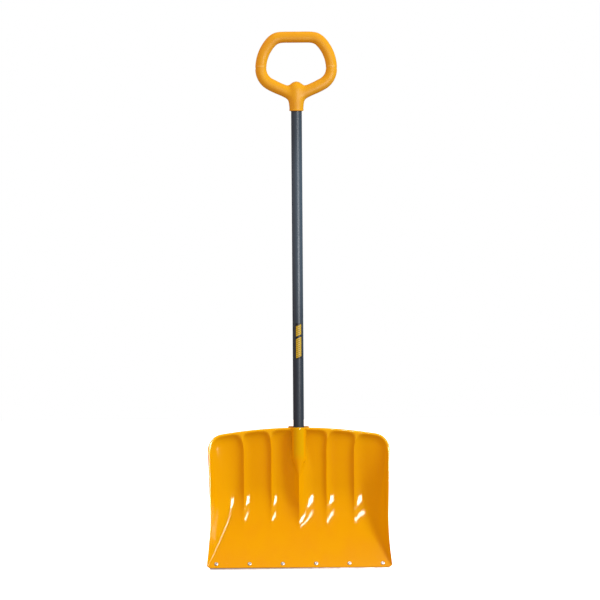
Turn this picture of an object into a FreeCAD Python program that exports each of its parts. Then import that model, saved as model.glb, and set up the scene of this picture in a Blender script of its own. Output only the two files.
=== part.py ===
"""Snow shovel: fluted poly scoop, steel wear strip, blind rivets, steel tube and closed-loop grip.

Frame: millimetres, +Z up along the tube, +X across the scoop, +Y towards the rear.
The origin is the middle of the wear strip's lower edge.
"""
import math
import os

import FreeCAD, Part
import Sketcher

SIZES = (
    # name, millimetres (or a plain ratio), what it is
    ("blade_width", 457.2, "scoop across its lower corners"),
    ("blade_height", 348.6, "top of the rim at the middle"),
    ("blade_foot", 5.0, "lower edge of the poly above the strip's edge"),
    ("blade_wall", 3.0, "poly sheet thickness"),
    ("waist_width", 441.0, "scoop across its narrowest part"),
    ("shoulder_width", 450.2, "scoop across its upper corners"),
    ("foot_corner", 10.0, "radius of the lower corners"),
    ("top_corner", 33.0, "radius of the upper corners"),
    ("top_radius", 1160.0, "radius of the arched rim"),
    ("rim_lip", 4.5, "plain lip above the flutes"),
    ("floor_slope", 0.62, "rearward travel of the floor for each unit of rise"),
    ("floor_height", 80.0, "top of the flat floor"),
    ("turn_height", 205.0, "height where the back wall stands upright"),
    ("hood_height", 300.0, "height where the rim starts to lean forward"),
    ("hood_reach", 4.0, "how far the rim leans forward"),
    ("side_slope", 0.24, "rearward travel of the side rims for each unit of rise"),
    ("fold_width", 300.0, "fold lines apart where they join the outer ridges"),
    ("fold_spread", 82.0, "spread of each fold line down to its corner"),
    ("flute_depth", 8.0, "flutes behind the ridges"),
    ("flute_pitch", 68.2, "ridge spacing over the back wall"),
    ("flute_pitch_top", 72.3, "ridge spacing at the rim"),
    ("flute_start", 82.0, "height where the flutes begin"),
    ("flute_full", 205.0, "height where the flutes are full depth"),
    ("flute_arch", 30.0, "height of the rounded flute tops"),
    ("keel_height", 10.0, "centre ridge in front of the other ridges"),
    ("keel_start", 98.0, "lower end of the centre ridge"),
    ("keel_full", 152.0, "height where the centre ridge is full height"),
    ("keel_spread", 52.0, "half width of the centre ridge"),
    ("taper_height", 225.0, "point of the socket's taper"),
    ("socket_height", 271.0, "shoulder where the socket begins"),
    ("socket_outer", 33.8, "outside of the socket bulge"),
    ("socket_ledge", 52.0, "width of the ledge behind the rim"),
    ("socket_top", 352.2, "top of the rear socket"),
    ("socket_collar", 12.2, "height of the collar round the socket's mouth"),
    ("socket_pad", 18.0, "rear screw pad behind the tube axis"),
    ("tube_back", 84.0, "tube axis behind the strip's edge"),
    ("tube_outer", 26.6, "tube outside diameter"),
    ("tube_wall", 1.2, "tube wall thickness"),
    ("tube_foot", 273.0, "lower end of the tube"),
    ("tube_length", 922.0, "tube length"),
    ("fit_gap", 0.05, "running gap round the tube"),
    ("strip_width", 443.0, "wear strip length across the scoop"),
    ("strip_height", 32.0, "wear strip height along the floor"),
    ("strip_thick", 1.2, "wear strip thickness"),
    ("strip_corner", 4.0, "wear strip corner radius"),
    ("rivet_pitch", 82.2, "rivet spacing"),
    ("rivet_rise", 14.2, "rivet centres above the strip's edge, along the floor"),
    ("rivet_head", 10.0, "rivet head diameter"),
    ("rivet_shank", 4.8, "rivet shank diameter"),
    ("rivet_tail", 7.6, "rivet tail diameter"),
    ("rivet_bore", 2.5, "mandrel diameter"),
    ("screw_shank", 4.2, "screw thread diameter"),
    ("screw_head", 8.6, "screw head diameter"),
    ("screw_grip", 9.0, "screw length under the head"),
    ("screw_low", 296.0, "lower socket screw height"),
    ("screw_high", 330.0, "upper socket screw height"),
    ("grip_height", 1328.6, "top of the hand grip"),
    ("grip_section", 29.0, "thickness of the grip's loop"),
    ("grip_flat", 68.0, "straight part of the top bar"),
    ("grip_shoulder", 38.0, "centreline radius of the upper shoulders"),
    ("grip_side", 97.9, "centreline radius of the sides"),
    ("grip_corner", 43.5, "centreline radius of the lower corners"),
    ("grip_turn", 48.0, "degrees turned by each upper shoulder"),
    ("grip_fall", 25.0, "degrees of slope of the lower arms"),
    ("neck_foot", 1131.9, "lower end of the grip's neck"),
    ("neck_outer", 35.6, "neck diameter below the arms"),
    ("neck_slim", 33.0, "neck diameter above its bead"),
    ("neck_cap", 17.8, "height of the neck's domed end"),
    ("neck_top", 1204.9, "top of the neck's dome"),
    ("neck_bead", 5.0, "height of the bead round the neck's lower end"),
    ("neck_seat", 16.6, "flat under the grip screw behind the tube axis"),
    ("neck_screw", 1152.0, "grip screw height"),
    ("label_foot", 518.0, "lower edge of the label"),
    ("label_length", 88.5, "label length along the tube"),
    ("label_width", 15.0, "label width round the tube"),
    ("label_thick", 0.15, "label film thickness"),
    ("label_shift", 1.5, "label centre beside the tube's middle"),
)

doc = FreeCAD.newDocument("SnowShovel")
sheet = doc.addObject("Spreadsheet::Sheet", "Dimensions")
for row, (alias, value, note) in enumerate(SIZES, start=1):
    sheet.set(f"A{row}", note)
    sheet.set(f"B{row}", str(value))
    sheet.setAlias(f"B{row}", alias)
doc.recompute()
D = {alias: float(sheet.get(alias)) for alias, _, _ in SIZES}

LIFT = math.atan(D["floor_slope"])
"""Angle of the floor behind the vertical."""
FLOOR_UP = FreeCAD.Vector(0, math.sin(LIFT), math.cos(LIFT))
FLOOR_OUT = FreeCAD.Vector(0, -math.cos(LIFT), math.sin(LIFT))
SHEET_FRONT = D["strip_thick"] / 2 + D["blade_wall"]
"""Front face of the floor in front of the strip's middle plane."""
RIVET_COUNT = 6
CUBIC = 3


# ---------------------------------------------------------------- scoop surface
def smooth(value, low, high):
    """Smooth step from 0 at low to 1 at high."""
    part = min(max((value - low) / (high - low), 0.0), 1.0)
    return part * part * (3.0 - 2.0 * part)


def rounded(value, radius):
    """Value where positive and 0 where negative, with the corner rounded."""
    return 0.5 * (value + math.sqrt(value * value + radius * radius))


def side_half(z):
    """Half width of the scoop's outline at height z."""
    waist = D["blade_height"] * 0.373
    if z < waist:
        flare = (D["blade_width"] - D["waist_width"]) / 2
        return D["waist_width"] / 2 + flare * ((waist - z) / (waist - 14.0)) ** 2
    flare = (D["shoulder_width"] - D["waist_width"]) / 2
    return D["waist_width"] / 2 + flare * min((z - waist) / 160.0, 1.0) ** 1.2


def rim_height(x):
    """Height of the rim at x, with the rounded upper corners."""
    rim = D["blade_height"] - x * x / (2 * D["top_radius"])
    past = abs(x) - (D["shoulder_width"] / 2 - D["top_corner"])
    if past <= 0:
        return rim
    return rim - D["top_corner"] + math.sqrt(max(D["top_corner"] ** 2 - past ** 2, 0.0))


def ridge_depth(z):
    """Distance of the ridge crests behind the origin at height z."""
    turn = D["turn_height"] - D["floor_height"]
    bend = min(max(z - D["floor_height"], 0.0), turn)
    floor = D["floor_slope"] * min(z, D["floor_height"]) - SHEET_FRONT / math.cos(LIFT)
    lean = max(z - D["hood_height"], 0.0) / (D["blade_height"] - D["hood_height"])
    return floor + D["floor_slope"] * (bend - bend ** 2 / (2 * turn)) - D["hood_reach"] * lean ** 2


def flute(x, z):
    """Share of the flute depth at (x, z): 1 along a flute, 0 on the ridges and the lip."""
    pitch = D["flute_pitch"]
    pitch += (D["flute_pitch_top"] - pitch) * smooth(z, D["hood_height"] - 10.0, D["blade_height"])
    outer = 2 * pitch
    if abs(x) < outer:
        across = 2 * (abs(x) / pitch - math.floor(abs(x) / pitch)) - 1
    else:
        across = 2 * (abs(x) - outer) / (side_half(z) - D["rim_lip"] - outer) - 1
    arch = max(z - rim_height(x) + D["rim_lip"] + D["flute_arch"], 0.0) / D["flute_arch"]
    share = 1.0 - min(abs(across), 1.2) ** 4.5 - min(arch, 1.4) ** 2.8
    return rounded(share, 0.06) * smooth(z, D["flute_start"], D["flute_full"])


def side_wall(x, z):
    """Forward reach of the side walls at (x, z)."""
    left = max(D["turn_height"] + 15.0 - z, 0.0) / (D["turn_height"] + 15.0)
    fold = D["fold_width"] / 2 + D["fold_spread"] * left ** 1.45
    share = (abs(x) - fold) / max(side_half(z) - fold, 2.0)
    reach = ridge_depth(z) - D["side_slope"] * z + SHEET_FRONT
    power = 1.15 + 0.55 * smooth(z, 110.0, 230.0)
    return max(reach, 0.0) * min(rounded(share, 0.04), 1.15) ** power


def keel(x, z):
    """Depth of the centre ridge and the socket bulge above it."""
    rise = D["keel_height"] * smooth(z, D["keel_start"], D["keel_full"])
    radius = D["socket_outer"] / 2
    crest = min(ridge_depth(min(z, D["hood_height"])) - rise, D["tube_back"] - radius)
    valley = ridge_depth(z) + D["flute_depth"] * smooth(z, D["flute_start"], D["flute_full"]) + 1.0
    part = abs(x) / D["keel_spread"]
    flank = crest + (valley - crest) * (1.0 - max(1.0 - part, 0.0) ** 2.6) + 60.0 * max(part - 1.0, 0.0)
    flank += 14.0 * smooth(z, D["taper_height"], D["socket_height"] + 104.0)
    flank += 8.0 * (1.0 - smooth(z, D["keel_start"] - 16.0, D["keel_start"] + 6.0))
    span = (z - D["taper_height"]) / (D["socket_height"] - D["taper_height"])
    bulge = radius * min(max(span, 0.0), 1.0)
    if abs(x) >= bulge:
        return flank
    return min(flank, crest + bulge - math.sqrt(bulge ** 2 - x * x))


def front_depth(x, z):
    """Depth of the scoop's front face at (x, z)."""
    face = ridge_depth(z) + D["flute_depth"] * flute(x, z) - side_wall(x, z)
    return face - rounded(face - keel(x, z), 1.6)


def back_depth(x, z):
    """Depth of the scoop's rear face: the front face plus the wall, measured across the slope."""
    step = 3.0
    slope_x = (front_depth(x + step, z) - front_depth(x - step, z)) / (2 * step)
    slope_z = (front_depth(x, z + step) - front_depth(x, z - step)) / (2 * step)
    return front_depth(x, z) + D["blade_wall"] * min(math.sqrt(1 + slope_x ** 2 + slope_z ** 2), 1.9)


def spline_face(depth, columns, rows):
    """Cubic face whose control points follow the depth function over a grid."""
    poles = [[FreeCAD.Vector(x, depth(x, z), z) for z in rows] for x in columns]
    ends = []
    for count in (len(columns), len(rows)):
        spans = count - CUBIC
        ends.append(([CUBIC + 1] + [1] * (spans - 1) + [CUBIC + 1], [float(k) for k in range(spans + 1)]))
    (mults_x, knots_x), (mults_z, knots_z) = ends
    surface = Part.BSplineSurface()
    surface.buildFromPolesMultsKnots(poles, mults_x, mults_z, knots_x, knots_z, False, False, CUBIC, CUBIC)
    return surface.toShape()


def blade_outline():
    """Front outline of the scoop as a flat face in the XZ plane."""
    foot = D["blade_foot"]
    heights = [foot + D["foot_corner"] + share * (300.0 - foot - D["foot_corner"]) for share in
               (0.0, 0.2, 0.4, 0.6, 0.8, 1.0)]
    right = [FreeCAD.Vector(side_half(z), 0, z) for z in heights]
    left = [FreeCAD.Vector(-p.x, 0, p.z) for p in reversed(right)]
    rim_x = D["shoulder_width"] / 2 - D["top_corner"]
    top = [FreeCAD.Vector(x, 0, rim_height(x)) for x in (rim_x, 0.0, -rim_x)]
    foot_x = right[0].x - D["foot_corner"]

    def corner(start, bulge, end):
        return Part.Arc(start, bulge, end).toShape()

    def side(points):
        curve = Part.BSplineCurve()
        curve.interpolate(points)
        return curve.toShape()

    def between(start, end, out_x, out_z):
        middle = (start + end) * 0.5
        return middle + FreeCAD.Vector(out_x, 0, out_z) * (end.sub(start).Length * 0.146)

    feet = [FreeCAD.Vector(foot_x, 0, foot), FreeCAD.Vector(-foot_x, 0, foot)]
    edges = [
        Part.makeLine(feet[1], feet[0]),
        corner(feet[0], between(feet[0], right[0], 1, -1), right[0]),
        side(right),
        corner(right[-1], between(right[-1], top[0], 1, 1), top[0]),
        corner(top[0], top[1], top[2]),
        corner(top[2], between(top[2], left[0], -1, 1), left[0]),
        side(left),
        corner(left[-1], between(left[-1], feet[1], -1, -1), feet[1]),
    ]
    return Part.Face(Part.Wire(edges))


def blade_sheet():
    """Fluted sheet of the scoop, trimmed to its outline."""
    half = D["blade_width"] / 2 + 8.0
    columns = [-half + 2 * half * i / 108 for i in range(109)]
    rows = [D["blade_foot"] - 6.0 + (D["blade_height"] + 5.0) * j / 80 for j in range(81)]
    front = spline_face(front_depth, columns, rows)
    back = spline_face(back_depth, columns, rows)
    sides = [Part.makeRuledSurface(a, b) for a, b in zip(front.Edges, back.Edges)]
    slab = Part.makeSolid(Part.makeShell([front, back] + sides))
    if slab.Volume < 0:
        slab.reverse()
    outline = blade_outline()
    outline.translate(FreeCAD.Vector(0, -60, 0))
    return slab.common(outline.extrude(FreeCAD.Vector(0, 260, 0)))


def upright(radius, foot, top, depth):
    """Upright cylinder on the middle plane."""
    return Part.makeCylinder(radius, top - foot, FreeCAD.Vector(0, depth, foot))


def rivet_point(index, out):
    """Point on rivet number index (from 0), out in front of the strip's middle plane."""
    x = (index - (RIVET_COUNT - 1) / 2) * D["rivet_pitch"]
    return FreeCAD.Vector(x, 0, 0) + FLOOR_UP * D["rivet_rise"] + FLOOR_OUT * out


def blade_solid():
    """Scoop with its rear socket, tube bore, rivet holes and screw holes."""
    axis = D["tube_back"]
    top = D["socket_top"]
    low = D["tube_foot"] - 10.0
    half = D["socket_ledge"] / 2
    ledge = Part.makeBox(2 * half, 6.0, top - low, FreeCAD.Vector(-half, axis + 11.0, low))
    ledge = ledge.makeFillet(2.5, [e for e in ledge.Edges if e.Length > top - low - 1])
    collar_foot = top - D["socket_collar"]
    collar_corner = FreeCAD.Vector(-half, axis + 1.5, collar_foot)
    collar = Part.makeBox(2 * half, 15.5, D["socket_collar"], collar_corner)
    collar = collar.makeFillet(2.5, [e for e in collar.Edges if abs(e.Length - D["socket_collar"]) < 0.1])
    pad = Part.makeBox(16.0, D["socket_pad"], top - low - 8, FreeCAD.Vector(-8.0, axis, low + 4))
    pad = pad.makeFillet(3.0, [e for e in pad.Edges if e.BoundBox.YMin > axis + D["socket_pad"] - 0.1])
    barrel = upright(D["socket_outer"] / 2 - 0.6, low, D["blade_height"] - 1.0, axis)
    solid = blade_sheet().fuse([ledge, collar, pad, barrel])
    bore = upright(D["tube_outer"] / 2 + D["fit_gap"], D["tube_foot"], top + 5, axis)
    rear = FreeCAD.Vector(0, 1, 0)
    drills = [Part.makeCylinder(D["screw_shank"] / 2 + D["fit_gap"], 30, FreeCAD.Vector(0, axis, z), rear)
              for z in (D["screw_low"], D["screw_high"])]
    holes = [Part.makeCylinder(D["rivet_shank"] / 2 + D["fit_gap"], 20, rivet_point(i, -8), FLOOR_OUT)
             for i in range(RIVET_COUNT)]
    return solid.cut([bore] + drills + holes).removeSplitter()


# ---------------------------------------------------------------- sketched pieces
def plane(body, role):
    """Origin plane of the body by its role."""
    return next(item for item in body.Origin.OriginFeatures if item.Role == role)


def new_body(name):
    """Empty body carrying its node name."""
    body = doc.addObject("PartDesign::Body", name)
    body.Label = name
    return body


def new_sketch(body, name, role):
    """Sketch attached flat to one of the body's own planes."""
    sketch = body.newObject("Sketcher::SketchObject", name)
    sketch.AttachmentSupport = (plane(body, role), [""])
    sketch.MapMode = "FlatFace"
    return sketch


def bind(sketch, kind, arguments, value, expression):
    """Add a driving size to the sketch and tie it to the sheet."""
    index = sketch.addConstraint(Sketcher.Constraint(kind, *arguments, value))
    sketch.setExpression(f"Constraints[{index}]", expression)


def circle(sketch, x, y, diameter, expression, rise=None):
    """Circle whose diameter, and height when given, follow the sheet."""
    item = sketch.addGeometry(Part.Circle(FreeCAD.Vector(x, y, 0), FreeCAD.Vector(0, 0, 1), diameter / 2))
    bind(sketch, "Diameter", (item,), diameter, expression)
    bind(sketch, "DistanceX", (-1, 1, item, 3), x, f"{x}")
    bind(sketch, "DistanceY", (-1, 1, item, 3), y, rise or f"{y}")


def outline(sketch, points):
    """Closed straight-sided outline; each point is (x, y, x expression, y expression)."""
    count = len(points)
    for index, (x, y, _, _) in enumerate(points):
        following = points[(index + 1) % count]
        end = FreeCAD.Vector(following[0], following[1], 0)
        sketch.addGeometry(Part.LineSegment(FreeCAD.Vector(x, y, 0), end))
    for index in range(count):
        sketch.addConstraint(Sketcher.Constraint("Coincident", index, 2, (index + 1) % count, 1))
    for index, (x, y, x_text, y_text) in enumerate(points):
        bind(sketch, "DistanceX", (-1, 1, index, 1), x, x_text)
        bind(sketch, "DistanceY", (-1, 1, index, 1), y, y_text)


def size(expression):
    """Value of an expression over the sheet, in millimetres."""
    value = sheet.evalExpression(expression)
    return float(getattr(value, "Value", value))


def points_from(pairs):
    """Outline points from pairs of expressions over the sheet's names."""
    return [(size(x), size(y), qualified(x), qualified(y)) for x, y in pairs]


def qualified(expression):
    """The same expression as seen from another object."""
    for alias in sorted(D, key=len, reverse=True):
        expression = expression.replace(alias, f"<<{alias}>>")
    return expression.replace("<<", "Dimensions.").replace(">>", "")


def pad_feature(body, sketch, length, expression, midplane=False):
    """Pad a sketch by a length from the sheet."""
    feature = body.newObject("PartDesign::Pad", f"{body.Name}_pad")
    feature.Profile = sketch
    feature.Length = length
    feature.setExpression("Length", qualified(expression))
    feature.Midplane = midplane
    doc.recompute()
    return feature


def revolve(body, sketch):
    """Turn a half outline about the body's upright axis."""
    feature = body.newObject("PartDesign::Revolution", f"{body.Name}_turned")
    feature.Profile = sketch
    feature.ReferenceAxis = (sketch, ["V_Axis"])
    feature.Angle = 360
    doc.recompute()
    return feature


def set_place(body, base, rotation=None, expressions=()):
    """Place a body and tie the chosen coordinates to the sheet."""
    body.Placement = FreeCAD.Placement(base, rotation or FreeCAD.Rotation())
    for axis, expression in expressions:
        body.setExpression(f"Placement.Base.{axis}", qualified(expression))


def build_strip():
    """Galvanised strip behind the lower edge, with its rivet holes."""
    body = new_body("wear_strip")
    sketch = new_sketch(body, "strip_outline", "XY_Plane")
    outline(sketch, points_from([
        ("-strip_width / 2", "0"), ("strip_width / 2", "0"),
        ("strip_width / 2", "strip_height"), ("-strip_width / 2", "strip_height")]))
    pad = pad_feature(body, sketch, D["strip_thick"], "strip_thick", midplane=True)
    fillet = body.newObject("PartDesign::Fillet", "strip_corners")
    uprights = [f"Edge{i + 1}" for i, e in enumerate(pad.Shape.Edges)
                if abs(e.Length - D["strip_thick"]) < 1e-6]
    fillet.Base = (pad, uprights)
    fillet.Radius = D["strip_corner"]
    fillet.setExpression("Radius", "Dimensions.strip_corner")
    doc.recompute()
    holes = new_sketch(body, "strip_hole", "XY_Plane")
    first = -D["rivet_pitch"] * (RIVET_COUNT - 1) / 2
    centre = FreeCAD.Vector(first, D["rivet_rise"], 0)
    item = holes.addGeometry(Part.Circle(centre, FreeCAD.Vector(0, 0, 1), 2.4))
    bind(holes, "Diameter", (item,), D["rivet_shank"] + 0.1, "Dimensions.rivet_shank + 0.1")
    bind(holes, "DistanceX", (-1, 1, item, 3), first, f"-Dimensions.rivet_pitch * {(RIVET_COUNT - 1) / 2}")
    bind(holes, "DistanceY", (-1, 1, item, 3), D["rivet_rise"], "Dimensions.rivet_rise")
    pocket = body.newObject("PartDesign::Pocket", "strip_drill")
    pocket.Profile = holes
    pocket.Type = "ThroughAll"
    pocket.Midplane = True
    doc.recompute()
    row = body.newObject("PartDesign::LinearPattern", "strip_drill_row")
    row.Originals = [pocket]
    row.Direction = (holes, ["H_Axis"])
    row.Length = D["rivet_pitch"] * (RIVET_COUNT - 1)
    row.setExpression("Length", f"Dimensions.rivet_pitch * {RIVET_COUNT - 1}")
    row.Occurrences = RIVET_COUNT
    body.Tip = row
    doc.recompute()
    turn = FreeCAD.Rotation(FreeCAD.Vector(1, 0, 0), 90 - math.degrees(LIFT))
    set_place(body, FreeCAD.Vector(0, 0, 0), turn)
    return body


RIVET_PROFILE = (
    ("rivet_bore / 2", "0.9"), ("rivet_shank / 2", "1.5"), ("rivet_head * 0.36", "1.15"),
    ("rivet_head / 2", "0.3"), ("rivet_head / 2", "0"), ("rivet_shank / 2", "0"),
    ("rivet_shank / 2", "-blade_wall - strip_thick"), ("rivet_tail / 2", "-blade_wall - strip_thick"),
    ("rivet_tail / 2 - 0.4", "-blade_wall - strip_thick - 1.6"),
    ("rivet_shank / 2 - 0.2", "-blade_wall - strip_thick - 3.4"),
    ("rivet_bore / 2", "-blade_wall - strip_thick - 3.4"),
)
STEM_PROFILE = (
    ("0", "0.3"), ("rivet_bore / 2", "0.3"), ("rivet_bore / 2", "-blade_wall - strip_thick - 3.4"),
    ("rivet_shank / 2 - 0.3", "-blade_wall - strip_thick - 3.4"),
    ("rivet_shank / 2 - 0.5", "-blade_wall - strip_thick - 4.8"),
    ("0", "-blade_wall - strip_thick - 5.2"),
)


def build_turned(name, profile, base, rotation):
    """Turned piece from a half outline, placed where it sits."""
    body = new_body(name)
    sketch = new_sketch(body, f"{name}_profile", "XZ_Plane")
    outline(sketch, points_from(profile))
    revolve(body, sketch)
    set_place(body, base, rotation)
    return body


def build_rivets():
    """Blind rivet bodies and the mandrel stubs left inside them."""
    turn = FreeCAD.Rotation(FreeCAD.Vector(0, 0, 1), FLOOR_OUT)
    made = []
    for index in range(RIVET_COUNT):
        seat = rivet_point(index, SHEET_FRONT)
        made.append(build_turned(f"rivet_{index + 1}", RIVET_PROFILE, seat, turn))
        made.append(build_turned(f"rivet_stem_{index + 1}", STEM_PROFILE, seat, turn))
    return made


def build_tube():
    """Painted steel handle tube with the drillings for its screws."""
    body = new_body("handle_tube")
    sketch = new_sketch(body, "tube_ring", "XY_Plane")
    circle(sketch, 0, 0, D["tube_outer"], "Dimensions.tube_outer")
    circle(sketch, 0, 0, D["tube_outer"] - 2 * D["tube_wall"],
           "Dimensions.tube_outer - 2 * Dimensions.tube_wall")
    pad_feature(body, sketch, D["tube_length"], "tube_length")
    drills = new_sketch(body, "tube_drills", "XZ_Plane")
    for name in ("screw_low", "screw_high", "neck_screw"):
        circle(drills, 0, D[name] - D["tube_foot"], D["screw_shank"] + 0.1, "Dimensions.screw_shank + 0.1",
               f"Dimensions.{name} - Dimensions.tube_foot")
    pocket = body.newObject("PartDesign::Pocket", "tube_drilling")
    pocket.Profile = drills
    pocket.Length = D["tube_outer"]
    pocket.setExpression("Length", "Dimensions.tube_outer")
    before = body.Shape.Volume
    doc.recompute()
    if pocket.Shape.BoundBox.YMax > 0 and not drilled_rear(pocket.Shape, before):
        pocket.Reversed = True
    doc.recompute()
    foot = FreeCAD.Vector(0, D["tube_back"], D["tube_foot"])
    set_place(body, foot, None, (("y", "tube_back"), ("z", "tube_foot")))
    return body


def drilled_rear(shape, before):
    """True when the drillings went through the rear wall of the tube."""
    probe = Part.makeCylinder(0.5, D["tube_outer"], FreeCAD.Vector(0, 0, D["screw_low"] - D["tube_foot"]),
                              FreeCAD.Vector(0, 1, 0))
    return shape.Volume < before and shape.common(probe).Volume < 1e-6


SCREW_PROFILE = (
    ("0", "2.6"), ("screw_head * 0.3", "2.5"), ("screw_head * 0.46", "1.6"), ("screw_head / 2", "0.6"),
    ("screw_head / 2", "0"), ("screw_shank / 2", "0"), ("screw_shank / 2", "-screw_grip + 2.5"),
    ("0", "-screw_grip"),
)


def build_screws():
    """Pan-head screws at the rear of the socket and of the grip's neck."""
    turn = FreeCAD.Rotation(FreeCAD.Vector(0, 0, 1), FreeCAD.Vector(0, 1, 0))
    seats = (
        ("socket_screw_1", D["socket_pad"], D["screw_low"]),
        ("socket_screw_2", D["socket_pad"], D["screw_high"]),
        ("grip_screw", D["neck_seat"], D["neck_screw"]),
    )
    made = []
    for name, seat, height in seats:
        body = build_turned(name, SCREW_PROFILE, FreeCAD.Vector(0, D["tube_back"] + seat, height), turn)
        slot = new_sketch(body, f"{name}_slot", "XY_Plane")
        corners = ((-2.6, -0.45), (2.6, -0.45), (2.6, 0.45), (-2.6, 0.45))
        outline(slot, [(x, y, str(x), str(y)) for x, y in corners])
        slot.AttachmentOffset = FreeCAD.Placement(FreeCAD.Vector(0, 0, 1.4), FreeCAD.Rotation())
        pocket = body.newObject("PartDesign::Pocket", f"{name}_drive")
        pocket.Profile = slot
        pocket.Length = 4.0
        pocket.Reversed = True
        doc.recompute()
        made.append(body)
    return made


def build_label():
    """Thin printed film wrapped part way round the front of the tube."""
    body = new_body("tube_label")
    inner = D["tube_outer"] / 2 + 0.01
    outer = inner + D["label_thick"]
    middle = -90 + math.degrees(D["label_shift"] / inner)
    reach = math.degrees(D["label_width"] / 2 / inner)
    span = [math.radians(middle - reach), math.radians(middle + reach)]
    sketch = new_sketch(body, "label_section", "XY_Plane")
    ring = Part.Circle(FreeCAD.Vector(0, 0, 0), FreeCAD.Vector(0, 0, 1), inner)
    wide = Part.Circle(FreeCAD.Vector(0, 0, 0), FreeCAD.Vector(0, 0, 1), outer)
    sketch.addGeometry(Part.ArcOfCircle(ring, *span))
    sketch.addGeometry(Part.ArcOfCircle(wide, *span))
    for angle in span:
        near = FreeCAD.Vector(inner * math.cos(angle), inner * math.sin(angle), 0)
        sketch.addGeometry(Part.LineSegment(near, near * (outer / inner)))
    for arc, end, line, tip in ((0, 1, 2, 1), (1, 1, 2, 2), (0, 2, 3, 1), (1, 2, 3, 2)):
        sketch.addConstraint(Sketcher.Constraint("Coincident", arc, end, line, tip))
    for arc, text in ((0, "Dimensions.tube_outer / 2 + 0.01"),
                      (1, "Dimensions.tube_outer / 2 + 0.01 + Dimensions.label_thick")):
        sketch.addConstraint(Sketcher.Constraint("Coincident", arc, 3, -1, 1))
        bind(sketch, "Radius", (arc,), (inner, outer)[arc], text)
    pad_feature(body, sketch, D["label_length"], "label_length")
    foot = FreeCAD.Vector(0, D["tube_back"], D["label_foot"])
    set_place(body, foot, None, (("y", "tube_back"), ("z", "label_foot")))
    return body


# ---------------------------------------------------------------- grip
def heading(degrees):
    """Unit direction after turning clockwise from +X by the given degrees."""
    return FreeCAD.Vector(math.cos(math.radians(degrees)), 0, -math.sin(math.radians(degrees)))


def arc_from(start, angle, radius, turn):
    """Arc leaving start at a heading and turning clockwise; returns the edge and its end."""
    centre = start + heading(angle + 90) * radius
    middle = centre - heading(angle + turn / 2 + 90) * radius
    end = centre - heading(angle + turn + 90) * radius
    return Part.Arc(start, middle, end).toShape(), end


def grip_path():
    """Centreline of the loop: top bar, shoulders, sides, lower corners and sloping arms."""
    top = D["grip_height"] - D["grip_section"] / 2
    start = FreeCAD.Vector(0, D["tube_back"], top)
    at = start + FreeCAD.Vector(D["grip_flat"] / 2, 0, 0)
    right = [Part.makeLine(start, at)]
    angle = 0.0
    for radius, turn in ((D["grip_shoulder"], D["grip_turn"]), (D["grip_side"], 90 - D["grip_turn"]),
                         (D["grip_corner"], 90 - D["grip_fall"])):
        edge, at = arc_from(at, angle, radius, turn)
        right.append(edge)
        angle += turn
    fall = at.x * math.tan(math.radians(D["grip_fall"]))
    right.append(Part.makeLine(at, FreeCAD.Vector(0, at.y, at.z - fall)))
    mirror = [edge.mirror(FreeCAD.Vector(0, 0, 0), FreeCAD.Vector(1, 0, 0)) for edge in right]
    return right, mirror


def sweep_half(edges):
    """Round bar swept along one half of the loop."""
    path = Part.Wire(edges)
    start = path.OrderedVertexes[0].Point
    section = Part.Wire(Part.makeCircle(D["grip_section"] / 2, start, FreeCAD.Vector(1, 0, 0)))
    return path.makePipeShell([section], True, False)


def neck_profile():
    """Half outline of the neck: bead, barrel and dome."""
    foot = D["neck_foot"]
    top = D["neck_top"]
    radius = D["neck_outer"] / 2
    slim = D["neck_slim"] / 2
    bead = D["neck_bead"]
    cap = D["neck_cap"]
    ball = (radius ** 2 + cap ** 2) / (2 * cap)
    half = math.asin(radius / ball) / 2
    axis = D["tube_back"]

    def at(r, z):
        return FreeCAD.Vector(r, axis, z)

    edges = [
        Part.makeLine(at(0, foot), at(slim - 0.6, foot)),
        Part.Arc(at(slim - 0.6, foot), at(slim + 1.0, foot + bead / 2),
                 at(slim - 0.4, foot + bead)).toShape(),
        Part.makeLine(at(slim - 0.4, foot + bead), at(radius, foot + bead + 20)),
        Part.makeLine(at(radius, foot + bead + 20), at(radius, top - cap)),
        Part.Arc(at(radius, top - cap), at(ball * math.sin(half), top - ball + ball * math.cos(half)),
                 at(0, top)).toShape(),
        Part.makeLine(at(0, top), at(0, foot)),
    ]
    return Part.Face(Part.Wire(edges))


def grip_solid():
    """Loop and neck fused, bored for the tube and seated for the screw."""
    axis = D["tube_back"]
    right, left = grip_path()
    loop = sweep_half(right).fuse(sweep_half(left))
    neck = neck_profile().revolve(FreeCAD.Vector(0, axis, 0), FreeCAD.Vector(0, 0, 1), 360)
    body = loop.fuse(neck).removeSplitter()
    bore_top = D["tube_foot"] + D["tube_length"]
    bore = upright(D["tube_outer"] / 2 + D["fit_gap"], D["neck_foot"] - 1, bore_top, axis)
    rear = FreeCAD.Vector(0, 1, 0)
    seat = Part.makeCylinder(D["screw_head"] / 2 + 0.7, 10,
                             FreeCAD.Vector(0, axis + D["neck_seat"], D["neck_screw"]), rear)
    drill = Part.makeCylinder(D["screw_shank"] / 2 + D["fit_gap"], 30,
                              FreeCAD.Vector(0, axis, D["neck_screw"]), rear)
    return body.cut([bore, seat, drill])


def shape_feature(name, shape):
    """Named piece whose shape is made directly from the sheet's sizes."""
    feature = doc.addObject("Part::Feature", name)
    feature.Label = name
    feature.Shape = shape
    feature.Placement = FreeCAD.Placement()
    return feature


def build_all():
    """Every piece of the shovel, in order from the ground up."""
    pieces = [shape_feature("blade", blade_solid()), build_strip()]
    pieces += build_rivets()
    pieces.append(build_tube())
    pieces += build_screws()
    pieces.append(build_label())
    pieces.append(shape_feature("grip", grip_solid()))
    return pieces


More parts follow.
